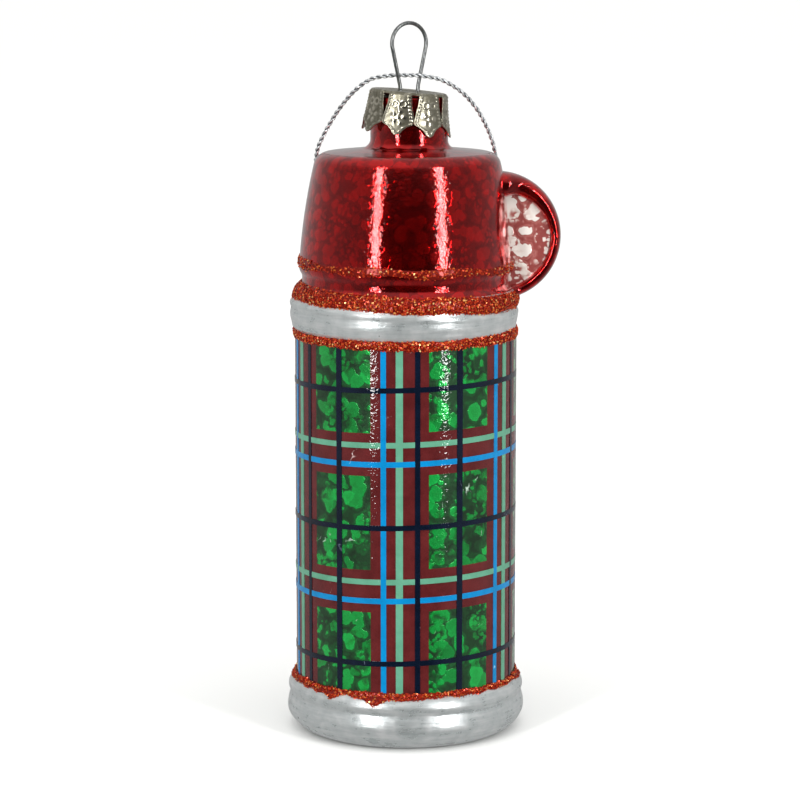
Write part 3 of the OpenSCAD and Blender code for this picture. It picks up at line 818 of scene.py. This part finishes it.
dice = np.random.default_rng(5)
cap_points, cap_faces, cap_relief, start = [], [], [], 0
for k in range(petal_count):
    outer, inner, relief = petal(math.radians(petal_from + k * 360 / petal_count), dice)
    points, faces = sheet_solid(outer, inner)
    cap_points.append(points)
    cap_faces.append(faces + start)
    cap_relief += [relief.ravel(), 0.5 * relief.ravel()]
    start += len(points)
print(petal_count, "petals of", len(points), "points")

# %% [markdown]
# ### Disc with its slot
# The top of the cap is a flat disc with a rounded slot for the wire, a beaded ring and a
# plain one. A slot cut with a boolean leaves long thin faces, so the disc is a grid that
# blends from the slot's edge to the round rim, and every ring keeps its shape.

# %% Disc with its slot
around = np.linspace(0, 2 * np.pi, 240, endpoint=False)[:, None]
slot_half_l, slot_half_w = 2.55, 0.77
corner = (np.abs(np.cos(around) / slot_half_l) ** 6 + np.abs(np.sin(around) / slot_half_w) ** 6) ** (-1 / 6)
slot_x, slot_y = corner * np.cos(around), corner * np.sin(around)
slot_edge = np.stack([
    slot_x * math.cos(eye_turn) - slot_y * math.sin(eye_turn),
    slot_x * math.sin(eye_turn) + slot_y * math.cos(eye_turn)], -1)
near_rim = 0.9 + 0.1 * np.sin(np.linspace(0, np.pi / 2, 9))[1:]
share = np.concatenate([np.linspace(0, 0.9, 28), near_rim])[None, :]
rim_edge = (cap_r - 0.02) * np.stack([np.cos(around + eye_turn), np.sin(around + eye_turn)], -1)
flat = slot_edge * (1 - share[..., None]) + rim_edge * share[..., None]
reach = np.hypot(flat[..., 0], flat[..., 1])
drop = 0.4 * np.clip((reach - cap_r + 0.42) / 0.42, 0, 1) ** 2
beads = 0.5 + 0.5 * np.cos(24 * np.arctan2(flat[..., 1], flat[..., 0]))
ridges = 0.07 * bell(reach - 5.6, 0.28) + 0.06 * bell(reach - 4.2, 0.3) * beads
outer = leaned(np.concatenate([flat, (ridges - drop)[..., None]], -1))
under = [flat * (1 - 0.03 * share[..., None]), (0.6 * ridges - drop - cap_t)[..., None]]
inner = leaned(np.concatenate(under, -1))
points, faces = sheet_solid(outer, inner, wrap_rows=True)
cap_points.append(points)
cap_faces.append(faces + start)
cap_relief += [ridges.ravel(), 0.5 * ridges.ravel()]
cap_crown = new_piece(
    "cap_stamped", np.concatenate(cap_points), np.concatenate(cap_faces), "cap", ["cap_crown"],
    values={"relief": np.concatenate(cap_relief) / 0.13})

# %% [markdown]
# ## Hanger wire
# One steel wire is bent into a round eye, and its two springy legs go down through the slot
# and press against the inside of the neck. A curve with a round bevel would do as well, but
# its bends would need handles. Here legs, stems and eye are points on one line, softened by
# averaging neighbours, and a circle is carried along it.

# %% Hanger wire
wire_r, eye_r, eye_z, stem_lean = 0.35, 3.65, 127.093, math.radians(13.3)
leg_spread, leg_l, wire_half_gap = 4.25, 24, 1.71
arc = np.linspace(-stem_lean, np.pi + stem_lean, 72)
loop = np.stack([eye_r * np.cos(arc), eye_z + eye_r * np.sin(arc)], -1)
down = np.linspace(0, 1, 14)[:, None]
leg = np.array([[wire_half_gap, disc_z]]) * (1 - down) + np.array([[leg_spread, disc_z - leg_l]]) * down
rise = np.linspace(0, 1, 8)[1:, None]
stem = np.array([[wire_half_gap, disc_z]]) * (1 - rise) + loop[:1] * rise
right = np.concatenate([leg[::-1], stem[:-1]])
bent = np.concatenate([right, loop, (right * [-1, 1])[::-1]])
bent[1:-1] = (bent[:-2] + 2 * bent[1:-1] + bent[2:]) / 4
line = np.stack(
    [bent[:, 0] * math.cos(eye_turn) + cup_shift, bent[:, 0] * math.sin(eye_turn), bent[:, 1]], -1)
along = unit(np.gradient(line, axis=0))
flat_side = np.array([-math.sin(eye_turn), math.cos(eye_turn), 0])
upper = np.cross(along, flat_side)
section = np.linspace(0, 2 * np.pi, 14, endpoint=False)
across, over = np.cos(section)[None, :, None], np.sin(section)[None, :, None]
wire_points = line[:, None] + wire_r * (across * flat_side + over * upper[:, None])
hanger = new_piece(
    "hanger_bent_wire", wire_points.reshape(-1, 3), tube_faces(len(line), len(section)), "cap",
    ["hanger_wire"])

# %% [markdown]
# ## Finishes
# Each finish starts from what the real one is. They share a start: a Principled shader with
# plain values on its own sockets, and patterns that read Object coordinates, so they stay
# put in every view. Scales are worked out from real sizes in millimetres.

# %% Start a finish
def per_mm(size):
    """Texture scale for features of a size in millimetres, because coordinates are in metres."""
    return 1 / (size * MM)


def new_finish(name, metallic=0.0, roughness=0.4, coat=0.0, coat_roughness=0.03, **values):
    """A material with a Principled shader and a start of plain values; returns the material,
    its tree, the shader and the Object coordinates.
    """
    finish = bpy.data.materials.new(name)
    finish.use_nodes = True
    tree = finish.node_tree
    shader = tree.nodes["Principled BSDF"]
    start = {
        "Metallic": metallic, "Roughness": roughness, "Coat Weight": coat,
        "Coat Roughness": coat_roughness}
    feed(tree, shader, {**start, **values})
    return finish, tree, shader, add(tree, "TexCoord").outputs["Object"]


def wear(finish, *pieces):
    """Puts one finish on pieces, in place of what they have."""
    for piece in pieces:
        piece.data.materials.clear()
        piece.data.materials.append(finish)
    print(finish.name, "on", ", ".join(piece.name for piece in pieces))

# %% [markdown]
# ### Printed wrap
# The wrap is a clear shrink film with screen-printed inks. Opaque ink on film gives the eye
# a flat, slightly uneven colour under a glossy skin, and handling leaves hairline scratches
# and small wrinkles that catch the light. The scratches are dents in the skin, and the light
# they catch is a painted highlight: a paler colour of each ink along them. Scratches could
# be painted by hand, but a pattern covers all of the wrap: they are the thin borders of large
# warped cells, kept only where a second noise lets them show. The film's real pebbles are
# finer than a tenth of a millimetre, so they are drawn 0.6 mm wide, which is as coarse as
# they need to be to show.

# %% Scratches and skin of the film
def film_skin(tree, place):
    """Returns how much of a hairline scratch shows at a point, from 0 to 1, and the normal of
    the film's faintly pebbled skin. Along the scratches the inks paint a paler colour as a
    highlight of the light they catch.
    """
    drift = add(tree, "TexNoise", {"Vector": place, "Scale": per_mm(9), "Detail": 3})
    bent = add(
        tree, "MixRGB", {"Fac": 0.012, "Color1": place, "Color2": drift.outputs["Color"]}, blend_type="ADD")
    stretch = add(tree, "Mapping", {"Vector": bent.outputs["Color"], "Scale": (1, 1, 0.25)})
    borders = add(
        tree, "TexVoronoi", {"Vector": stretch.outputs["Vector"], "Scale": per_mm(9)},
        feature="DISTANCE_TO_EDGE")
    hairline = add(
        tree, "MapRange", {"Value": borders.outputs["Distance"], "From Min": 0.009, "From Max": 0.002})
    patches = add(tree, "TexNoise", {"Vector": place, "Scale": per_mm(5), "Detail": 4, "Roughness": 0.7})
    shown = add(tree, "MapRange", {"Value": patches.outputs["Fac"], "From Min": 0.6, "From Max": 0.68})
    lit_scratch = add(
        tree, "Math", {0: hairline.outputs["Result"], 1: shown.outputs["Result"]}, operation="MULTIPLY")
    pebble = add(tree, "TexNoise", {"Vector": place, "Scale": per_mm(0.6), "Detail": 1, "Roughness": 0.6})
    wrinkles = add(tree, "TexNoise", {"Vector": place, "Scale": per_mm(5), "Detail": 2})
    height = add(
        tree, "MixRGB", {"Fac": 0.5, "Color1": pebble.outputs["Fac"], "Color2": wrinkles.outputs["Fac"]},
        blend_type="ADD")
    bump = add(tree, "Bump", {"Height": height.outputs["Color"], "Strength": 1.0, "Distance": 0.035 * MM})
    scored = add(tree, "Bump", {
        "Height": lit_scratch.outputs["Value"], "Strength": 0.6, "Distance": 0.05 * MM,
        "Normal": bump.outputs["Normal"]})
    return lit_scratch.outputs["Value"], scored.outputs["Normal"]


def film_ink(name, colour, scuff_and_sheen, dark):
    """Screen ink on film: first the ink's colour, then the paler colour painted along scratches
    as a highlight of the light they catch, then the colour of its thicker patches.
    """
    finish, tree, shader, place = new_finish(
        name, roughness=0.5, coat=1.0, coat_roughness=0.04, **{"Specular IOR Level": 0.0})
    lit_scratch, skin = film_skin(tree, place)
    cloud = add(tree, "TexNoise", {"Vector": place, "Scale": per_mm(3), "Detail": 5, "Roughness": 0.6})
    ink_depth = add(tree, "ValToRGB", {"Fac": cloud.outputs["Fac"]}, stops=[(0.3, dark), (0.62, colour)])
    # Painted highlight: along a scratch the ink turns to its paler colour, standing in for the light that the
    # scratch catches.
    paint = add(
        tree, "MixRGB", {"Fac": lit_scratch, "Color1": ink_depth.outputs["Color"], "Color2": linear(scuff_and_sheen)})
    feed(tree, shader, {"Base Color": paint.outputs["Color"], "Normal": skin, "Coat Normal": skin})
    return finish


wear(film_ink("maroon_screen_ink", "#5a2021", "#b79c9a", "#4a1819"), nodes["maroon_print"])
wear(film_ink("blue_screen_ink", "#0a80bc", "#8fc4e2", "#0972a8"), nodes["blue_print"])
wear(film_ink("mint_screen_ink", "#5f9a80", "#b9d4c8", "#558d73"), nodes["mint_print"])
wear(film_ink("navy_screen_ink", "#0b1526", "#6c7688", "#070f1c"), nodes["navy_print"])

# %% [markdown]
# ### Mercury glass
# The glass is silvered inside with a broken mirror coat, and transparent colour lies over
# it: green ink in the wrap's windows, red lacquer on the cup. The eye gets coloured metal
# with round islands of bright mirror, 1 to 4 mm across, in a darker net, under a clear
# polished skin. Real layers of clear glass and mirror that touch each other render slowly
# and with errors, so each colour is one tinted metal under a clear coat. The islands are
# cells of two sizes, warped by noise so that no border is straight.

# %% Islands of mirror
def mirror_islands(tree, place, size, warp):
    """Returns the brightness of broken mirror, from 0 in the net to 1 in an island, and a
    number for each island. size is an island's width in millimetres.
    """
    drift = add(tree, "TexNoise", {"Vector": place, "Scale": per_mm(size * 0.9), "Detail": 2})
    bent = add(
        tree, "MixRGB", {"Fac": warp * size * MM, "Color1": place, "Color2": drift.outputs["Color"]},
        blend_type="ADD")
    large = add(tree, "TexVoronoi", {"Vector": bent.outputs["Color"], "Scale": per_mm(size)})
    small = add(tree, "TexVoronoi", {"Vector": bent.outputs["Color"], "Scale": per_mm(size * 0.42)})
    island = add(
        tree, "ValToRGB", {"Fac": large.outputs["Distance"]},
        stops=[(0.0, 0.8), (0.49, 1.0), (0.54, 0.1), (0.6, 0.28), (0.7, 0.0)])
    drop = add(
        tree, "ValToRGB", {"Fac": small.outputs["Distance"]},
        stops=[(0.0, 0.9), (0.42, 0.75), (0.48, 0.1), (0.6, 0.0)])
    crowd = add(tree, "TexNoise", {"Vector": place, "Scale": per_mm(size * 2.2), "Detail": 3})
    share = add(tree, "MapRange", {"Value": crowd.outputs["Fac"], "From Min": 0.5, "From Max": 0.62})
    both = add(tree, "MixRGB", {
        "Fac": share.outputs["Result"], "Color1": island.outputs["Color"], "Color2": drop.outputs["Color"]})
    return both.outputs["Color"], add(tree, "SeparateColor", {"Color": large.outputs["Color"]}).outputs["Red"]


def island_colour(tree, islands, number, stops, darkest, brightest):
    """Colour of the mirror: a ramp from net to island, times a brightness of each island's own."""
    tint = add(tree, "ValToRGB", {"Fac": islands}, stops=stops)
    shade = add(tree, "MapRange", {"Value": number, "To Min": darkest, "To Max": brightest})
    return add(
        tree, "MixRGB", {"Fac": 1, "Color1": tint.outputs["Color"], "Color2": shade.outputs["Result"]},
        blend_type="MULTIPLY").outputs["Color"]


# %% [markdown]
# #### Green ink over mirror
# In the wrap's windows the ink is transparent, so the mirror glints through it. The islands
# are smoother than the net between them, and stand a few hundredths of a millimetre proud,
# which breaks the reflection of the lamps as the real coat does.

# %% Green ink over mirror
green, tree, shader, place = new_finish(
    "green_ink_over_mirror", metallic=0.45, roughness=0.22, coat=1.0, coat_roughness=0.05)
lit_scratch, skin = film_skin(tree, place)
islands, number = mirror_islands(tree, place, 2.9, 0.9)
greens = [(0, "#0c3c18"), (0.3, "#0d5824"), (0.7, "#0e8f36"), (1, "#17aa48")]
shaded = island_colour(tree, islands, number, greens, 0.65, 1.2)
# Painted highlight: along a scratch the green turns pale, standing in for the light that the scratch catches.
paint = add(tree, "MixRGB", {"Fac": lit_scratch, "Color1": shaded, "Color2": linear("#d6efdc")})
rough = add(tree, "MapRange", {"Value": islands, "To Min": 0.42, "To Max": 0.16})
dents = add(tree, "Bump", {"Height": islands, "Strength": 0.5, "Distance": 0.06 * MM, "Normal": skin})
feed(tree, shader, {
    "Base Color": paint.outputs["Color"], "Roughness": rough.outputs["Result"],
    "Normal": dents.outputs["Normal"], "Coat Normal": skin})
wear(green, nodes["green_print"])

# %% [markdown]
# #### Red lacquer over mirror
# Lacquer is thicker than ink and flows as it dries, so its islands are smaller and nearly
# the colour of the net, and its skin ripples. Two bumps make that: one under the coat, from
# ripple and islands together, and a shallow one in the coat itself.

# %% Red lacquer over mirror
red, tree, shader, place = new_finish(
    "red_lacquer_over_mirror", metallic=0.95, roughness=0.1, coat=1.0, coat_roughness=0.04)
islands, number = mirror_islands(tree, place, 2.1, 0.7)
reds = [(0, "#a80608"), (0.4, "#c40709"), (1, "#e80d0c")]
shaded = island_colour(tree, islands, number, reds, 0.78, 1.1)
ripple = add(tree, "TexNoise", {"Vector": place, "Scale": per_mm(0.7), "Detail": 2, "Roughness": 0.6})
swell = add(
    tree, "MixRGB", {"Fac": 0.3, "Color1": ripple.outputs["Fac"], "Color2": islands}, blend_type="ADD")
dents = add(tree, "Bump", {"Height": swell.outputs["Color"], "Strength": 0.8, "Distance": 0.04 * MM})
skin = add(tree, "Bump", {"Height": ripple.outputs["Fac"], "Strength": 1.0, "Distance": 0.055 * MM})
feed(tree, shader, {
    "Base Color": shaded, "Normal": dents.outputs["Normal"], "Coat Normal": skin.outputs["Normal"]})
wear(red, lacquer)

# %% [markdown]
# #### Bare glass, its lining and the clear film
# Where no colour lies over it, soda glass shows its silver lining. In the handle's web it is
# cream with a rosy net, because the red loop is mirrored in it. The lining is plain broken
# silver, and the clear film beside the wrap's seam is the same silver under a glossy skin.
# All three are opaque metal under a coat, for the reason given above.

# %% Bare glass, its lining and the clear film
clear, tree, shader, place = new_finish(
    "blown_glass_over_mirror", metallic=0.25, roughness=0.2, coat=1.0, coat_roughness=0.03)
islands, _ = mirror_islands(tree, place, 2.4, 0.9)
cream_and_red_reflection = [(0, "#a0504c"), (0.25, "#b46a64"), (0.55, "#ecdcd2"), (1, "#fffaf2")]
# Painted reflection: the rosy stops of the net stand in for the red loop mirrored in the web; the pale stops
# are the mirror's own colour.
tint = add(tree, "ValToRGB", {"Fac": islands}, stops=cream_and_red_reflection)
dents = add(tree, "Bump", {"Height": islands, "Strength": 0.7, "Distance": 0.08 * MM})
feed(tree, shader, {"Base Color": tint.outputs["Color"], "Normal": dents.outputs["Normal"]})
wear(clear, glass)

lining, tree, shader, place = new_finish("silver_mirror_lining", metallic=1.0, roughness=0.12)
islands, _ = mirror_islands(tree, place, 2.4, 0.9)
tint = add(tree, "ValToRGB", {"Fac": islands}, stops=[(0, "#7f8284"), (1, "#d9dcde")])
feed(tree, shader, {"Base Color": tint.outputs["Color"]})
wear(lining, nodes["mirror_lining"])

film, tree, shader, place = new_finish(
    "clear_shrink_film", metallic=0.9, roughness=0.2, coat=1.0, coat_roughness=0.05)
_, skin = film_skin(tree, place)
islands, _ = mirror_islands(tree, place, 2.9, 0.9)
tint = add(tree, "ValToRGB", {"Fac": islands}, stops=[(0, "#8d9492"), (1, "#d5dad8")])
feed(tree, shader, {"Base Color": tint.outputs["Color"], "Coat Normal": skin})
wear(film, nodes["clear_film"])

# %% [markdown]
# ### Silver paint
# Collar and base are hand-painted with aluminium paint. Fine flakes in a clear binder give
# a satin metal with soft wide highlights, and the brush leaves faint strokes that run round
# the flask, since it is turned under the brush. Anisotropy would give smooth streaks only,
# so the strokes are a noise stretched along the turn, mixed with pools where paint gathered.
# A few dark specks of dust have dried into it.

# %% Silver paint
silver, tree, shader, place = new_finish(
    "aluminium_paint", metallic=0.68, roughness=0.3, coat=0.25, coat_roughness=0.12)
strokes = add(tree, "Mapping", {"Vector": place, "Scale": (0.09, 0.09, 1)})
brush = add(tree, "TexNoise", {
    "Vector": strokes.outputs["Vector"], "Scale": per_mm(0.7), "Detail": 5, "Roughness": 0.6})
pools = add(tree, "TexNoise", {"Vector": place, "Scale": per_mm(2.6), "Detail": 4, "Roughness": 0.55})
mixed = add(tree, "MixRGB", {"Fac": 0.5, "Color1": brush.outputs["Fac"], "Color2": pools.outputs["Fac"]})
silvers = [(0.35, "#bcc3c3"), (0.5, "#d2d7d7"), (0.65, "#e8eaea")]
tint = add(tree, "ValToRGB", {"Fac": mixed.outputs["Color"]}, stops=silvers)
specks = add(tree, "TexVoronoi", {"Vector": place, "Scale": per_mm(5)})
speck = add(tree, "MapRange", {"Value": specks.outputs["Distance"], "From Min": 0.05, "From Max": 0.035})
paint = add(tree, "MixRGB", {
    "Fac": speck.outputs["Result"], "Color1": tint.outputs["Color"], "Color2": linear("#3a3234")})
rough = add(tree, "MapRange", {
    "Value": mixed.outputs["Color"], "From Min": 0.35, "From Max": 0.65, "To Min": 0.24, "To Max": 0.38})
dents = add(tree, "Bump", {"Height": mixed.outputs["Color"], "Strength": 0.8, "Distance": 0.2 * MM})
feed(tree, shader, {
    "Base Color": paint.outputs["Color"], "Roughness": rough.outputs["Result"],
    "Normal": dents.outputs["Normal"]})
wear(silver, base_coat, collar_coat)

# %% [markdown]
# ### Metallised cord
# The cord's yarns are wrapped in flat metallised film, so each ply glints in short flats,
# and the groove between the plies lies in shade. The flats could be modelled, but at half a
# millimetre they only need to tilt the light, so they are cells with a bump of their own and a
# brightness that is a painted glint. The crown value on the mesh is 1 on top of a ply and 0 in
# the groove, and the colour is painted darker towards the groove as shade.

# %% Metallised cord
lurex, tree, shader, place = new_finish("metallised_cord", metallic=0.55, roughness=0.25)
crown = add(tree, "Attribute", attribute_name="crown")
flats = add(tree, "TexVoronoi", {"Vector": place, "Scale": per_mm(0.45)})
glint = add(tree, "SeparateColor", {"Color": flats.outputs["Color"]})
# Painted shade: the colour darkens to near black towards the groove between the plies, where shade falls.
greys = [(0.0, "#1c1e22"), (0.4, "#7d8185"), (0.75, "#e6e9eb")]
groove_shade = add(tree, "ValToRGB", {"Fac": crown.outputs["Fac"]}, stops=greys)
# Painted glint: each flat's own brightness multiplies the colour.
painted_glint = add(tree, "MapRange", {"Value": glint.outputs["Red"], "To Min": 0.5, "To Max": 1.2})
tint = add(
    tree, "MixRGB", {"Fac": 1, "Color1": groove_shade.outputs["Color"], "Color2": painted_glint.outputs["Result"]},
    blend_type="MULTIPLY")
dents = add(tree, "Bump", {"Height": glint.outputs["Green"], "Strength": 0.8, "Distance": 0.08 * MM})
feed(tree, shader, {"Base Color": tint.outputs["Color"], "Normal": dents.outputs["Normal"]})
wear(lurex, hang_cord, cord_knot)

# %% [markdown]
# ### Glitter film
# Glitter film is aluminium under transparent lacquer. From flake to flake it runs from dark
# blood red to orange, and a few are gold, where the lacquer has come off. One colour with a
# noise would run across the flakes, so each takes its own tint from the mesh, and the glue
# between them has the darkest.

# %% Glitter film
sparkle, tree, shader, place = new_finish("red_film_glitter", metallic=0.45, roughness=0.2)
tint = add(tree, "Attribute", attribute_name="tint")
flames = [
    (0.0, "#7a160c"), (0.1, "#9a1e0e"), (0.45, "#b82c12"), (0.8, "#d4481e"), (0.93, "#f08a38"),
    (1, "#ffd890")]
paint = add(tree, "ValToRGB", {"Fac": tint.outputs["Fac"]}, stops=flames)
feed(tree, shader, {"Base Color": paint.outputs["Color"]})
wear(sparkle, *glitter)

# %% [markdown]
# ### Tinplate
# Tinplate is steel under a thin coat of tin: warm grey, dull in the low places and rubbed
# bright on the crests. Pointiness would find crests too, but it changes with how dense the
# mesh is, so the relief that shaped the petals rides along on the mesh instead, and is mixed
# with a fine stain.

# %% Tinplate
tin, tree, shader, place = new_finish("stamped_tinplate", metallic=1.0, roughness=0.3)
relief = add(tree, "Attribute", attribute_name="relief")
stain = add(tree, "TexNoise", {"Vector": place, "Scale": per_mm(0.8), "Detail": 5, "Roughness": 0.65})
scuff_and_sheen = add(
    tree, "Math", {0: relief.outputs["Fac"], 1: 0.55, 2: stain.outputs["Fac"]}, operation="MULTIPLY_ADD")
tins = [(0.3, "#76715f"), (0.55, "#aaa592"), (0.9, "#ece6d2")]
paint = add(tree, "ValToRGB", {"Fac": scuff_and_sheen.outputs["Value"]}, stops=tins)
rough = add(tree, "MapRange", {
    "Value": scuff_and_sheen.outputs["Value"], "From Min": 0.3, "From Max": 0.9, "To Min": 0.42, "To Max": 0.18})
grain = add(tree, "Bump", {"Height": stain.outputs["Fac"], "Strength": 0.5, "Distance": 0.03 * MM})
feed(tree, shader, {
    "Base Color": paint.outputs["Color"], "Roughness": rough.outputs["Result"],
    "Normal": grain.outputs["Normal"]})
wear(tin, cap_crown)

# %% [markdown]
# ### Steel wire
# The wire is drawn through a die, which leaves fine lines along it, and a grey bloom has
# dulled it since. Real die lines are a few hundredths of a millimetre wide, so they are
# drawn 0.15 mm wide to show at all, and stretched along the upright.

# %% Steel wire
steel, tree, shader, place = new_finish("drawn_steel_wire", metallic=1.0, roughness=0.3)
drawn = add(tree, "Mapping", {"Vector": place, "Scale": (1, 1, 0.08)})
lines = add(tree, "TexNoise", {"Vector": drawn.outputs["Vector"], "Scale": per_mm(0.15), "Detail": 3})
paint = add(tree, "ValToRGB", {"Fac": lines.outputs["Fac"]}, stops=[(0.35, "#6a6c6c"), (0.65, "#a9abaa")])
feed(tree, shader, {"Base Color": paint.outputs["Color"]})
wear(steel, hanger)
